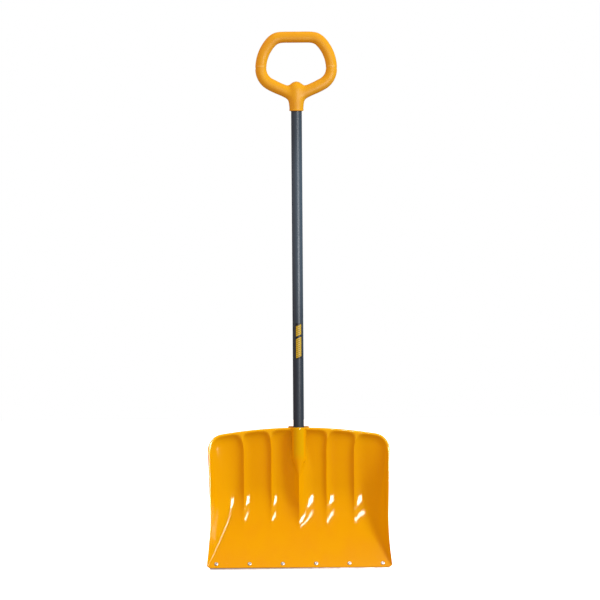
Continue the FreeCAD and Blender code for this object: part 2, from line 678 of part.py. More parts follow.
def export(pieces):
    """Check every piece and write its STEP file."""
    doc.recompute()
    for item in doc.Objects:
        if "Invalid" in item.State or "Error" in item.State:
            raise RuntimeError(f"{item.Label} did not recompute: {item.State}")
    os.makedirs("parts", exist_ok=True)
    for piece in pieces:
        shape = piece.Shape
        if shape.isNull() or not shape.isValid() or len(shape.Solids) != 1:
            raise RuntimeError(f"{piece.Label}: shape is not one valid solid")
        shape.exportStep(f"parts/{piece.Label}.step")
        box = shape.BoundBox
        print(f"{piece.Label}: {shape.Volume:.0f} mm3, x {box.XMin:.1f}..{box.XMax:.1f}, "
              f"y {box.YMin:.1f}..{box.YMax:.1f}, z {box.ZMin:.1f}..{box.ZMax:.1f}")


export(build_all())
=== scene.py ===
"""Snow shovel: glossy fluted scoop, riveted edge strip, painted tube and closed-loop grip.

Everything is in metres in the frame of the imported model: +Z up along the tube, +X across the
scoop, +Y towards the rear, origin at the middle of the wear strip's lower edge.
"""

import logging
import math
from dataclasses import dataclass, field
from enum import Enum
from typing import Any, Callable, Iterable, Sequence

import bmesh
import bpy
from mathutils import Matrix, Vector


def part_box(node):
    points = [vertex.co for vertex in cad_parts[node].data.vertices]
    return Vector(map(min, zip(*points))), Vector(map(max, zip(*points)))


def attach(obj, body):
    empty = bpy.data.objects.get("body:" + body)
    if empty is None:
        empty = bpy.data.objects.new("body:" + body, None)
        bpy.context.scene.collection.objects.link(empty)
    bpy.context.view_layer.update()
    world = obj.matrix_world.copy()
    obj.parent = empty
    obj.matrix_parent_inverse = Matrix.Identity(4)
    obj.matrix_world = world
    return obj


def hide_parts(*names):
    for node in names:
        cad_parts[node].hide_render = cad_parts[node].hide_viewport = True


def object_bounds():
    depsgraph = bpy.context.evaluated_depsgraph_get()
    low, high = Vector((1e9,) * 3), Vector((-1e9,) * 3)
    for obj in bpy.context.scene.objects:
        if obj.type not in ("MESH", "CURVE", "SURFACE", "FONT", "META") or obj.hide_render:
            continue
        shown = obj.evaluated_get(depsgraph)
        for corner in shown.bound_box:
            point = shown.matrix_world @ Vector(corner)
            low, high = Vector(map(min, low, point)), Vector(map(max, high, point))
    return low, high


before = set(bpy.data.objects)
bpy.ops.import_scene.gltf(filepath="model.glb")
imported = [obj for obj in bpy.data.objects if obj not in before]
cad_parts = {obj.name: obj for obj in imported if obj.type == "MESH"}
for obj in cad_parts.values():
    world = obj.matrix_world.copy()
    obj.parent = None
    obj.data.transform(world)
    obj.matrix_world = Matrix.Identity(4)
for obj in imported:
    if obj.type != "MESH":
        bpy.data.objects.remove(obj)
CAD_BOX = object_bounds()

log = logging.getLogger("snow_shovel")
MM = 0.001
Point = tuple[float, float, float]
Number = float | int


class Slot(Enum):
    """Material slots of the record."""

    SCOOP = "poly_orange"
    GRIP = "poly_yellow"
    TUBE = "painted_steel"
    STRIP = "galvanised_steel"
    ZINC = "zinc_steel"
    RIVET = "rivet_aluminium"
    LABEL = "label_film"


class Cut(Enum):
    """How one closed mesh is combined with another."""

    JOIN = "UNION"
    DRILL = "DIFFERENCE"


# ------------------------------------------------------------------ shader arithmetic
class Value:
    """A shader socket that carries one number and takes part in Python arithmetic."""

    def __init__(self, shader: "Shader", socket: bpy.types.NodeSocket) -> None:
        """Wrap a socket of a shader's node tree."""
        self.shader = shader
        self.socket = socket

    def _math(self, operation: str, *others: "Value | Number", first: bool = True) -> "Value":
        """Add a Math node.

        Args:
            operation: the node's operation.
            others: the other operands.
            first: whether this value is the first operand.

        Returns:
            The node's result.
        """
        operands = [self, *others] if first else [*others, self]
        inputs = {index: operand for index, operand in enumerate(operands)}
        return self.shader.value("ShaderNodeMath", {"operation": operation}, inputs)

    def __add__(self, other: "Value | Number") -> "Value":
        """Sum."""
        return self._math("ADD", other)

    def __sub__(self, other: "Value | Number") -> "Value":
        """Difference."""
        return self._math("SUBTRACT", other)

    def __mul__(self, other: "Value | Number") -> "Value":
        """Product."""
        return self._math("MULTIPLY", other)

    def __truediv__(self, other: "Value | Number") -> "Value":
        """Quotient."""
        return self._math("DIVIDE", other)

    def __pow__(self, other: "Value | Number") -> "Value":
        """Power."""
        return self._math("POWER", other)

    def __rsub__(self, other: Number) -> "Value":
        """Difference from a plain number."""
        return self._math("SUBTRACT", other, first=False)

    def __rtruediv__(self, other: Number) -> "Value":
        """Plain number divided by this value."""
        return self._math("DIVIDE", other, first=False)

    __radd__ = __add__
    __rmul__ = __mul__

    def __abs__(self) -> "Value":
        """Size without sign."""
        return self._math("ABSOLUTE")

    def above(self, edge: Number) -> "Value":
        """1 where the value is greater than edge, else 0."""
        return self._math("GREATER_THAN", edge)

    def below(self, edge: Number) -> "Value":
        """1 where the value is less than edge, else 0."""
        return self._math("LESS_THAN", edge)

    def remainder(self, step: Number) -> "Value":
        """What is left after whole steps are taken away, always positive."""
        return self._math("FLOORED_MODULO", step)

    def sine(self) -> "Value":
        """Sine of the value in radians."""
        return self._math("SINE")

    def band(self, low: Number, high: Number) -> "Value":
        """Smooth step from 0 at low to 1 at high."""
        settings = {"interpolation_type": "SMOOTHSTEP"}
        return self.shader.value("ShaderNodeMapRange", settings, {"Value": self, "From Min": low, "From Max": high})


class Shader:
    """A material's node tree, built up from Python expressions."""

    def __init__(self, name: str) -> None:
        """Start an empty material with a Principled surface."""
        self.material = bpy.data.materials.new(name)
        self.material.use_nodes = True
        self.tree = self.material.node_tree
        self.tree.nodes.clear()
        self.surface = self.tree.nodes.new("ShaderNodeBsdfPrincipled")
        output = self.tree.nodes.new("ShaderNodeOutputMaterial")
        self.tree.links.new(self.surface.outputs["BSDF"], output.inputs["Surface"])

    def node(self, kind: str, settings: dict[str, Any], inputs: dict[str | int, Any]) -> bpy.types.Node:
        """Add a node.

        Args:
            kind: the node's type.
            settings: properties of the node, set before its sockets.
            inputs: sockets by name or number, each a number, a tuple, a socket or a Value.

        Returns:
            The new node.
        """
        made = self.tree.nodes.new(kind)
        for key, setting in settings.items():
            setattr(made, key, setting)
        for key, given in inputs.items():
            self.feed(made.inputs[key], given)
        return made

    def feed(self, socket: bpy.types.NodeSocket, given: Any) -> None:
        """Link or set one socket."""
        if isinstance(given, Value):
            given = given.socket
        if isinstance(given, bpy.types.NodeSocket):
            self.tree.links.new(given, socket)
        else:
            socket.default_value = given

    def value(self, kind: str, settings: dict[str, Any], inputs: dict[str | int, Any]) -> Value:
        """Add a node and wrap its first output."""
        return Value(self, self.node(kind, settings, inputs).outputs[0])

    def place(self) -> bpy.types.NodeSocket:
        """Object coordinates, in metres."""
        return self.node("ShaderNodeTexCoord", {}, {}).outputs["Object"]

    def axes(self) -> tuple[Value, Value, Value]:
        """Object coordinates as three values."""
        split = self.node("ShaderNodeSeparateXYZ", {}, {0: self.place()})
        return Value(self, split.outputs[0]), Value(self, split.outputs[1]), Value(self, split.outputs[2])

    def stretched(self, scale: Point, turn: Point = (0.0, 0.0, 0.0)) -> bpy.types.NodeSocket:
        """Object coordinates scaled, and turned if asked."""
        return self.node("ShaderNodeMapping", {}, {"Vector": self.place(), "Scale": scale, "Rotation": turn}).outputs[0]

    def noise(self, scale: float, detail: float = 2.0, rough: float = 0.5,
              stretch: Point = (1.0, 1.0, 1.0), turn: Point = (0.0, 0.0, 0.0)) -> Value:
        """Fractal noise.

        Args:
            scale: features per metre.
            detail: octaves.
            rough: share kept by each finer octave.
            stretch: scale along each axis, small along the grain.
            turn: turn of the grain, in radians.

        Returns:
            Values round 0.5.
        """
        inputs = {"Vector": self.stretched(stretch, turn), "Scale": scale, "Detail": detail, "Roughness": rough}
        return self.value("ShaderNodeTexNoise", {}, inputs)

    def cells(self, scale: float, feature: str = "F1", stretch: Point = (1.0, 1.0, 1.0)) -> Value:
        """Distance to cell centres or borders."""
        return self.value("ShaderNodeTexVoronoi", {"feature": feature}, {"Vector": self.stretched(stretch), "Scale": scale})

    def blend(self, share: Value | Number, low: Any, high: Any) -> bpy.types.NodeSocket:
        """Mix two colours.

        Args:
            share: 0 for low, 1 for high.
            low: colour tuple or socket.
            high: colour tuple or socket.

        Returns:
            The mixed colour.
        """
        mixer = self.node("ShaderNodeMix", {"data_type": "RGBA"}, {})
        self.feed(mixer.inputs["Factor"], share)
        self.feed(mixer.inputs["A"], rgba(low))
        self.feed(mixer.inputs["B"], rgba(high))
        return next(s for s in mixer.outputs if s.type == "RGBA")

    def bump(self, height: Value, depth: float, strength: float = 1.0,
             under: bpy.types.NodeSocket | None = None) -> bpy.types.NodeSocket:
        """Bump of a height field.

        Args:
            height: the field.
            depth: metres of relief for a height of 1.
            strength: share of the effect.
            under: a normal that the bump adds to.

        Returns:
            The bumped normal.
        """
        inputs: dict[str | int, Any] = {"Height": height, "Distance": depth, "Strength": strength}
        if under is not None:
            inputs["Normal"] = under
        return self.node("ShaderNodeBump", {}, inputs).outputs[0]

    def finish(self, **sockets: Any) -> bpy.types.Material:
        """Feed the surface's sockets, named with underscores, and hand back the material."""
        for key, given in sockets.items():
            self.feed(self.surface.inputs[key.replace("_", " ")], given)
        return self.material


def rgba(colour: Any) -> Any:
    """Add an alpha of 1 to a colour of three numbers; leave anything else alone."""
    return (*colour, 1.0) if isinstance(colour, tuple) and len(colour) == 3 else colour


def shaded(colour: Sequence[float], factor: float) -> tuple[float, ...]:
    """A colour times a number."""
    return tuple(min(channel * factor, 1.0) for channel in colour)


# ------------------------------------------------------------------ finishes
@dataclass(frozen=True)
class ScoopPoly:
    """Glossy moulded polyethylene of the scoop, scuffed towards the cutting edge, with painted highlights on the rim's
    lip and on the socket bulge.
    """

    colour: Point = (0.745, 0.366, 0.0005)
    deep: Point = (0.720, 0.312, 0.0004)
    worn: Point = (0.830, 0.420, 0.0300)
    # painted highlight colour of the rim's lip
    painted_lip_highlight: Point = (0.900, 0.500, 0.0080)
    # painted highlight colour of the socket bulge's front
    painted_bulge_highlight: Point = (0.660, 0.405, 0.0005)
    chalk: Point = (0.480, 0.290, 0.1000)
    gloss: float = 0.055

    def material(self) -> bpy.types.Material:
        """Build the material."""
        s = Shader("scoop_poly")
        x, y, z = s.axes()
        lip = s.value("ShaderNodeAttribute", {"attribute_name": "lip"}, {})
        cloud = s.noise(7.0, 3.0, 0.55).band(0.3, 0.7)
        flow = s.noise(26.0, 3.0, 0.5, (1.0, 1.0, 0.16)).band(0.35, 0.75)
        scratch = s.noise(900.0, 2.0, 0.6, (1.0, 1.0, 0.035)).band(0.60, 0.74)
        cross = s.noise(700.0, 2.0, 0.6, (0.05, 1.0, 1.0), (0.0, 0.35, 0.0)).band(0.64, 0.76)
        low = 1.0 - z.band(0.002, 0.11)
        scuff = (scratch * 0.7 + cross * 0.5) * low
        colour = s.blend(cloud * 0.45 + flow * 0.3, self.colour, self.deep)
        colour = s.blend(scuff * 0.5, colour, self.worn)
        # painted highlight: the rim's lip, masked by the "lip" attribute, is made lighter where it catches the light
        # from above
        colour = s.blend(lip * 0.8, colour, self.painted_lip_highlight)
        # painted highlight on the front of the socket bulge; barrel is its mask
        barrel = (1.0 - abs(x).band(0.010, 0.015)) * z.band(0.262, 0.290) * y.below(0.085)
        colour = s.blend(barrel * 0.8, colour, self.painted_bulge_highlight)
        colour = s.blend(z.above(0.3472) * y.above(0.0845) * 0.8, colour, self.chalk)
        rough = cloud * 0.035 + flow * 0.03 + scuff * 0.28 + low * 0.05 + self.gloss
        peel = s.noise(420.0, 2.0, 0.5)
        ripple = s.noise(38.0, 2.0, 0.5)
        normal = s.bump(ripple, 0.00035, 0.55)
        normal = s.bump(peel, 0.00003, 0.5, normal)
        normal = s.bump(scuff, 0.00004, 0.6, normal)
        return s.finish(Base_Color=colour, Roughness=rough, Normal=normal, IOR=1.5)


@dataclass(frozen=True)
class GripPoly:
    """Satin moulded plastic of the grip: fine speckle with faint drawn lines along the top bar, and a painted highlight
    along the mould seam at the widest point.
    """

    colour: Point = (0.760, 0.405, 0.0030)
    deep: Point = (0.690, 0.310, 0.0010)
    # pale speckle of the plastic, also the colour of the painted highlight on the seam
    speckle_and_glint: Point = (0.840, 0.540, 0.1100)
    gloss: float = 0.28
    widest: float = 1.243

    def material(self) -> bpy.types.Material:
        """Build the material."""
        s = Shader("grip_poly")
        _, y, z = s.axes()
        cloud = s.noise(22.0, 4.0, 0.6).band(0.3, 0.72)
        speckle = s.noise(850.0, 3.0, 0.65)
        lines = s.noise(520.0, 2.0, 0.5, (0.04, 1.0, 1.0)).band(0.40, 0.66)
        bar = z.band(1.296, 1.300)
        colour = s.blend(cloud * 0.4 + lines * bar * 0.3, self.colour, self.deep)
        colour = s.blend(speckle.band(0.56, 0.70) * 0.28, colour, self.speckle_and_glint)
        # painted highlight: a pale line along the mould seam at the widest point, where the seam catches the light
        seam_glint = abs(z - self.widest).below(0.0018) * y.below(0.0735)
        colour = s.blend(seam_glint * 0.55, colour, self.speckle_and_glint)
        rough = speckle * 0.16 + cloud * 0.22 + self.gloss
        normal = s.bump(speckle, 0.00034, 0.7)
        normal = s.bump(lines * bar, 0.00012, 0.5, normal)
        return s.finish(Base_Color=colour, Roughness=rough, Normal=normal, IOR=1.48, Specular_IOR_Level=0.35)


@dataclass(frozen=True)
class TubePaint:
    """Slate-blue paint over drawn steel tube, with fine orange peel and a few rubbed spots; painted shade darkens it
    towards the bottom and towards the top.
    """

    colour: Point = (0.062, 0.108, 0.160)
    # darkest colour of the painted shade on the tube
    deep: Point = (0.026, 0.040, 0.060)
    rubbed: Point = (0.100, 0.145, 0.185)
    gloss: float = 0.27

    def material(self) -> bpy.types.Material:
        """Build the material."""
        s = Shader("tube_paint")
        _, _, z = s.axes()
        cloud = s.noise(18.0, 3.0, 0.6, (1.0, 1.0, 0.3)).band(0.3, 0.7)
        grain = s.noise(1100.0, 3.0, 0.6)
        drawn = s.noise(600.0, 2.0, 0.6, (1.0, 1.0, 0.02)).band(0.56, 0.72)
        # painted shade: darker towards the bottom and towards the top of the tube, plus some random tone from cloud
        painted_shade_and_tone = (1.0 - z.band(0.42, 0.92)) * 0.88 + z.band(0.96, 1.10) * 0.45 + cloud * 0.12
        colour = s.blend(painted_shade_and_tone, self.colour, self.deep)
        colour = s.blend(drawn * 0.25 + grain.band(0.62, 0.72) * 0.25, colour, self.rubbed)
        rough = grain * 0.14 + cloud * 0.05 + self.gloss
        normal = s.bump(grain, 0.00006, 0.6)
        normal = s.bump(drawn, 0.00003, 0.4, normal)
        return s.finish(Base_Color=colour, Roughness=rough, Normal=normal, IOR=1.5, Specular_IOR_Level=0.30)


@dataclass(frozen=True)
class BrushedMetal:
    """Plated or rolled metal with a fine grain along X, tarnish and wear."""

    name: str
    colour: Point
    tarnish: Point
    gloss: float
    spangle: float = 0.0
    grain: Point = (0.03, 1.0, 1.0)
    metallic: float = 0.75

    def material(self) -> bpy.types.Material:
        """Build the material."""
        s = Shader(self.name)
        cloud = s.noise(60.0, 4.0, 0.6).band(0.35, 0.7)
        brushed = s.noise(1400.0, 2.0, 0.6, self.grain)
        flakes = s.cells(120.0).band(0.0, 0.006)
        mix = cloud * 0.6 + flakes * self.spangle
        colour = s.blend(mix, self.colour, self.tarnish)
        rough = brushed * 0.16 + cloud * 0.12 + self.gloss
        normal = s.bump(brushed, 0.00004, 0.5)
        return s.finish(Base_Color=colour, Roughness=rough, Metallic=self.metallic, Normal=normal)


@dataclass(frozen=True)
class LabelFilm:
    """Dark film with two plain yellow blocks crossed by fine slanted ticks."""

    film: Point = (0.016, 0.020, 0.026)
    ink: Point = (0.600, 0.440, 0.010)
    middle: float = 0.0015
    blocks: tuple[tuple[float, float], ...] = ((0.5225, 0.5700), (0.5765, 0.6020))
    pitch: float = 0.0050
    slant: float = -0.45

    def material(self) -> bpy.types.Material:
        """Build the material."""
        s = Shader("label_film")
        x, _, z = s.axes()
        across = x - self.middle
        lean = z + across * self.slant
        field = 0.0
        for low, high in self.blocks:
            field = lean.above(low) * lean.below(high) + field
        ticks = (lean.remainder(self.pitch) / self.pitch).below(0.34) * abs(across).below(0.0050)
        worn = s.noise(1500.0, 3.0, 0.6).band(0.26, 0.40)
        marks = field * abs(across).below(0.0063) * (1.0 - ticks * 0.80) * worn
        colour = s.blend(marks, self.film, self.ink)
        rough = s.noise(900.0, 2.0, 0.5) * 0.12 + 0.34
        return s.finish(Base_Color=colour, Roughness=rough, Normal=s.bump(marks, 0.00002, 0.6), IOR=1.46,
                        Specular_IOR_Level=0.35)


@dataclass(frozen=True)
class StudioFloor:
    """Plain pale floor."""

    colour: Point = (0.90, 0.90, 0.90)
    glow: float = 0.66

    def material(self) -> bpy.types.Material:
        """Build the material."""
        s = Shader("studio_floor")
        return s.finish(Base_Color=rgba(self.colour), Roughness=0.9, Specular_IOR_Level=0.0,
                        Emission_Color=(1.0, 1.0, 1.0, 1.0), Emission_Strength=self.glow)


# ------------------------------------------------------------------ modelling helpers
def clear_selection() -> None:
    """Leave edit mode and deselect everything."""
    if bpy.context.mode != "OBJECT":
        bpy.ops.object.mode_set(mode="OBJECT")
    bpy.ops.object.select_all(action="DESELECT")


def take(piece: bpy.types.Object) -> None:
    """Select one piece alone and make it active."""
    clear_selection()
    piece.select_set(True)
    bpy.context.view_layer.objects.active = piece


def named(name: str) -> bpy.types.Object:
    """Give the active object its piece name."""
    piece = bpy.context.active_object
    piece.name = name
    piece.data.name = name
    return piece


def settle(piece: bpy.types.Object) -> bpy.types.Object:
    """Put the piece's place, turn and scale into its mesh."""
    take(piece)
    bpy.ops.object.transform_apply(location=True, rotation=True, scale=True)
    return piece


def apply_modifier(piece: bpy.types.Object, kind: str, **settings: Any) -> bpy.types.Object:
    """Add a modifier with its settings and apply it."""
    take(piece)
    modifier = piece.modifiers.new(kind.title(), kind)
    for key, setting in settings.items():
        setattr(modifier, key, setting)
    bpy.ops.object.modifier_apply(modifier=modifier.name)
    return piece


def combine(piece: bpy.types.Object, tool: bpy.types.Object, how: Cut) -> bpy.types.Object:
    """Join or drill a piece with a tool mesh, which is then removed."""
    apply_modifier(piece, "BOOLEAN", object=tool, operation=how.value, solver="EXACT")
    bpy.data.objects.remove(tool, do_unlink=True)
    return piece


def smooth_by_angle(piece: bpy.types.Object, degrees: float) -> bpy.types.Object:
    """Shade smooth except across edges sharper than the angle."""
    take(piece)
    bpy.ops.object.shade_smooth_by_angle(angle=math.radians(degrees))
    return piece


def edit_all(piece: bpy.types.Object, *steps: Callable[[], Any]) -> bpy.types.Object:
    """Run edit-mode operators on the whole mesh."""
    take(piece)
    bpy.ops.object.mode_set(mode="EDIT")
    bpy.ops.mesh.select_all(action="SELECT")
    for step in steps:
        step()
    bpy.ops.object.mode_set(mode="OBJECT")
    return piece


def tidy(piece: bpy.types.Object, gap: float = 1e-6) -> bpy.types.Object:
    """Merge doubles and point the faces outwards."""
    return edit_all(
        piece,
        lambda: bpy.ops.mesh.remove_doubles(threshold=gap),
        lambda: bpy.ops.mesh.normals_make_consistent(inside=False),
    )


def rod(name: str, radius: float, start: Point, end: Point, sides: int = 64) -> bpy.types.Object:
    """Plain round rod between two points, used as a cutter or as a blank."""
    low, high = Vector(start), Vector(end)
    clear_selection()
    bpy.ops.mesh.primitive_cylinder_add(vertices=sides, radius=radius, depth=(high - low).length)
    piece = named(name)
    turn = (high - low).to_track_quat("Z", "Y").to_matrix().to_4x4()
    piece.matrix_world = Matrix.Translation((low + high) / 2) @ turn
    return settle(piece)


def block(name: str, low: Point, high: Point, edge: float, segments: int = 3) -> bpy.types.Object:
    """Box between two corners with all its edges rounded."""
    clear_selection()
    bpy.ops.mesh.primitive_cube_add(size=1.0)
    piece = named(name)
    piece.location = (Vector(low) + Vector(high)) / 2
    piece.scale = Vector(high) - Vector(low)
    settle(piece)
    return apply_modifier(piece, "BEVEL", width=edge, segments=segments, limit_method="NONE")


def turned(name: str, profile: Iterable[tuple[float, float]], sides: int, place: Matrix) -> bpy.types.Object:
    """Turned piece from a half outline of (radius, height) points.

    Args:
        name: piece name.
        profile: outline from the axis round to the axis again.
        sides: steps round the turn.
        place: where the piece's axis stands.

    Returns:
        The closed mesh.
    """
    points = list(profile)
    clear_selection()
    bpy.ops.mesh.primitive_plane_add(size=MM)
    piece = named(name)
    shape = bmesh.new()
    made = [shape.verts.new((radius, 0.0, height)) for radius, height in points]
    for start, end in zip(made, made[1:]):
        shape.edges.new((start, end))
    shape.to_mesh(piece.data)
    shape.free()
    edit_all(
        piece,
        lambda: bpy.ops.mesh.spin(steps=sides, angle=math.tau, center=(0, 0, 0), axis=(0, 0, 1)),
        lambda: bpy.ops.mesh.select_all(action="SELECT"),
        lambda: bpy.ops.mesh.remove_doubles(threshold=1e-6),
        lambda: bpy.ops.mesh.normals_make_consistent(inside=False),
    )
    piece.data.transform(place)
    return piece


def facing(point: Sequence[float], direction: Sequence[float]) -> Matrix:
    """Placement at a point with +Z along a direction."""
    turn = Vector(direction).to_track_quat("Z", "Y").to_matrix().to_4x4()
    return Matrix.Translation(Vector(point)) @ turn


def dress(piece: bpy.types.Object, material: bpy.types.Material) -> bpy.types.Object:
    """Give the piece one material only."""
    piece.data.materials.clear()
    piece.data.materials.append(material)
    return piece


def hand_over(piece: bpy.types.Object, slot: Slot, *nodes: str) -> bpy.types.Object:
    """Let a finished piece ride on the root body and stand for its CAD nodes."""
    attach(piece, "root")
    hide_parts(*nodes)
    log.info("%s: %d faces", piece.name, len(piece.data.polygons))
    return piece


def dress_node(name: str, material: bpy.types.Material) -> None:
    """Give a carried-over CAD node its material."""
    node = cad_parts[name]
    if not node.material_slots:
        node.data.materials.append(material)
    for holder in node.material_slots:
        holder.material = material
    log.info("%s: carried over", name)


def smooth(value: float, low: float, high: float) -> float:
    """Smooth step from 0 at low to 1 at high."""
    part = min(max((value - low) / (high - low), 0.0), 1.0)
    return part * part * (3.0 - 2.0 * part)


def rounded(value: float, radius: float) -> float:
    """Value where positive and 0 where negative, with the corner rounded."""
    return 0.5 * (value + math.sqrt(value * value + radius * radius))


def tube_axis() -> float:
    """Depth of the handle tube's axis, in metres."""
    low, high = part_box("handle_tube")
    return (low.y + high.y) / 2


# ------------------------------------------------------------------ scoop
@dataclass
class Scoop:
    """Fluted poly scoop with its rear socket. All sizes in millimetres."""

    width: float = 457.2
    height: float = 348.6
    foot: float = 5.0
    wall: float = 3.0
    waist: float = 441.0
    shoulder: float = 450.2
    foot_corner: float = 10.0
    top_corner: float = 33.0
    top_radius: float = 1160.0
    lip: float = 4.5
    slope: float = 0.62
    floor_height: float = 80.0
    turn_height: float = 205.0
    hood_height: float = 300.0
    hood_reach: float = 4.0
    side_slope: float = 0.24
    fold_width: float = 300.0
    fold_spread: float = 82.0
    flute_depth: float = 8.0
    pitch: float = 68.2
    pitch_top: float = 72.3
    flute_start: float = 82.0
    flute_full: float = 205.0
    arch: float = 30.0
    keel_height: float = 10.0
    keel_start: float = 98.0
    keel_full: float = 152.0
    keel_spread: float = 52.0
    taper: float = 225.0
    socket: float = 271.0
    socket_radius: float = 16.9
    ledge: float = 52.0
    back: float = 95.0
    socket_top: float = 352.2
    collar: float = 12.2
    pad: float = 18.0
    tube_radius: float = 13.35
    strip: float = 1.2
    tube_foot: float = 273.0
    columns: int = 30
    rows: tuple[tuple[float, int], ...] = ((0.05, 8), (0.84, 66), (1.0, 40))

    def __post_init__(self) -> None:
        """Work out the tube's axis and the floor's set-back from the strip's middle plane."""
        self.axis = tube_axis() / MM
        tilt = math.atan(self.slope)
        self.front = self.strip / 2 + self.wall
        self.setback = self.front / math.cos(tilt)
        self.up = Vector((0.0, math.sin(tilt), math.cos(tilt)))
        self.out = Vector((0.0, -math.cos(tilt), math.sin(tilt)))

    def side_half(self, z: float) -> float:
        """Half width of the outline at height z."""
        waist = self.height * 0.373
        if z < waist:
            flare = (self.width - self.waist) / 2
            return self.waist / 2 + flare * ((waist - z) / (waist - 14.0)) ** 2
        flare = (self.shoulder - self.waist) / 2
        return self.waist / 2 + flare * min((z - waist) / 160.0, 1.0) ** 1.2

    def rim(self, x: float) -> float:
        """Height of the rim at x."""
        top = self.height - x * x / (2 * self.top_radius)
        past = abs(x) - (self.shoulder / 2 - self.top_corner)
        if past <= 0:
            return top
        return top - self.top_corner + math.sqrt(max(self.top_corner ** 2 - past ** 2, 0.0))

    def foot_line(self, x: float) -> float:
        """Height of the lower edge at x, with its rounded corners."""
        past = abs(x) - (self.side_half(self.foot + self.foot_corner) - self.foot_corner)
        if past <= 0:
            return self.foot
        return self.foot + self.foot_corner - math.sqrt(max(self.foot_corner ** 2 - past ** 2, 0.0))

    def ridge(self, z: float) -> float:
        """Depth of the ridge crests at height z."""
        turn = self.turn_height - self.floor_height
        bend = min(max(z - self.floor_height, 0.0), turn)
        lean = max(z - self.hood_height, 0.0) / (self.height - self.hood_height)
        floor = self.slope * min(z, self.floor_height) - self.setback
        return floor + self.slope * (bend - bend ** 2 / (2 * turn)) - self.hood_reach * lean ** 2

    def flute_pitch(self, z: float) -> float:
        """Ridge spacing at height z."""
        return self.pitch + (self.pitch_top - self.pitch) * smooth(z, self.hood_height - 10.0, self.height)

    def flute(self, x: float, z: float) -> float:
        """Share of the flute depth at (x, z)."""
        pitch = self.flute_pitch(z)
        outer = 2 * pitch
        if abs(x) < outer:
            across = 2 * (abs(x) / pitch - math.floor(abs(x) / pitch)) - 1
        else:
            across = 2 * (abs(x) - outer) / (self.side_half(z) - self.lip - outer) - 1
        arch = max(z - self.rim(x) + self.lip + self.arch, 0.0) / self.arch
        share = 1.0 - min(abs(across), 1.2) ** 4.5 - min(arch, 1.4) ** 3.6
        return rounded(share, 0.06) * smooth(z, self.flute_start, self.flute_full)

    def side_wall(self, x: float, z: float) -> float:
        """Forward reach of the side walls at (x, z)."""
        left = max(self.turn_height + 15.0 - z, 0.0) / (self.turn_height + 15.0)
        fold = self.fold_width / 2 + self.fold_spread * left ** 1.45
        share = (abs(x) - fold) / max(self.side_half(z) - fold, 2.0)
        reach = self.ridge(z) - self.side_slope * z + self.front
        power = 1.15 + 0.55 * smooth(z, 110.0, 230.0)
        return max(reach, 0.0) * min(rounded(share, 0.02), 1.15) ** power

    def keel(self, x: float, z: float) -> float:
        """Depth of the centre ridge and the socket bulge above it."""
        rise = self.keel_height * smooth(z, self.keel_start, self.keel_full)
        crest = min(self.ridge(min(z, self.hood_height)) - rise, self.axis - self.socket_radius)
        valley = self.ridge(z) + self.flute_depth * smooth(z, self.flute_start, self.flute_full) + 1.0
        part = abs(x) / self.keel_spread
        flank = crest + (valley - crest) * (1.0 - max(1.0 - part, 0.0) ** 2.6) + 60.0 * max(part - 1.0, 0.0)
        flank += 14.0 * smooth(z, self.taper, self.socket + 104.0)
        flank += 8.0 * (1.0 - smooth(z, self.keel_start - 16.0, self.keel_start + 6.0))
        span = (z - self.taper) / (self.socket - self.taper)
        bulge = self.socket_radius * min(max(span, 0.0), 1.0)
        if abs(x) >= bulge:
            return flank
        return min(flank, crest + bulge - math.sqrt(bulge ** 2 - x * x))

    def lip_curl(self, x: float, z: float) -> float:
        """Rearward roll of the rim's lip."""
        near = min(self.rim(x) - z, (self.side_half(z) - abs(x)) * 1.0)
        share = max(1.0 - max(near, 0.0) / self.lip, 0.0)
        return 2.6 * share ** 1.7 * smooth(z, 30.0, 90.0)

    def lip_highlight_share(self, x: float, z: float) -> float:
        """Share of a point that lies on the rim's lip or on a web between two flute ends; the mask of the painted
        highlight on the lip.
        """
        near = smooth(z, self.rim(x) - self.arch, self.rim(x) - 0.55 * self.arch)
        clear = smooth(abs(x), self.socket_radius, self.socket_radius + 6.0)
        return near * clear * (1.0 - smooth(self.flute(x, z), 0.05, 0.45))

    def depth(self, x: float, z: float) -> float:
        """Depth of the front face at (x, z)."""
        face = self.ridge(z) + self.flute_depth * self.flute(x, z) - self.side_wall(x, z)
        apart = face - self.keel(x, z)
        nearest = face - rounded(apart, 1.6)
        return nearest + self.lip_curl(x, z)

    def point(self, across: float, rise: float) -> Vector:
        """Point of the front face.

        Args:
            across: -3 to 3, counting flutes from the middle.
            rise: 0 at the lower edge to 1 at the rim.

        Returns:
            The point in millimetres.
        """
        step = min(int(abs(across)), 2)
        part = abs(across) - step
        z = rise * self.height
        for _ in range(8):
            pitch = self.flute_pitch(z)
            edge = self.side_half(z)
            start = step * pitch
            end = edge if step == 2 else start + pitch
            share = 1.0 - (1.0 - part) ** 1.7 if step == 2 else part
            x = math.copysign(start + (end - start) * share, across)
            z = self.foot_line(x) + rise * (self.rim(x) - self.foot_line(x))
        return Vector((x, self.depth(x, z), z))

    def rises(self) -> list[float]:
        """Row positions from the lower edge to the rim, closest where the flutes end."""
        made = [0.0]
        for end, count in self.rows:
            start = made[-1]
            made += [start + (end - start) * (k + 1) / count for k in range(count)]
        return made

    def sheet(self) -> bpy.types.Object:
        """Fluted sheet with its wall and rounded edges."""
        rises = self.rises()
        columns = 6 * self.columns
        clear_selection()
        bpy.ops.mesh.primitive_grid_add(x_subdivisions=columns, y_subdivisions=len(rises) - 1, size=2.0)
        piece = named("blade_poly")
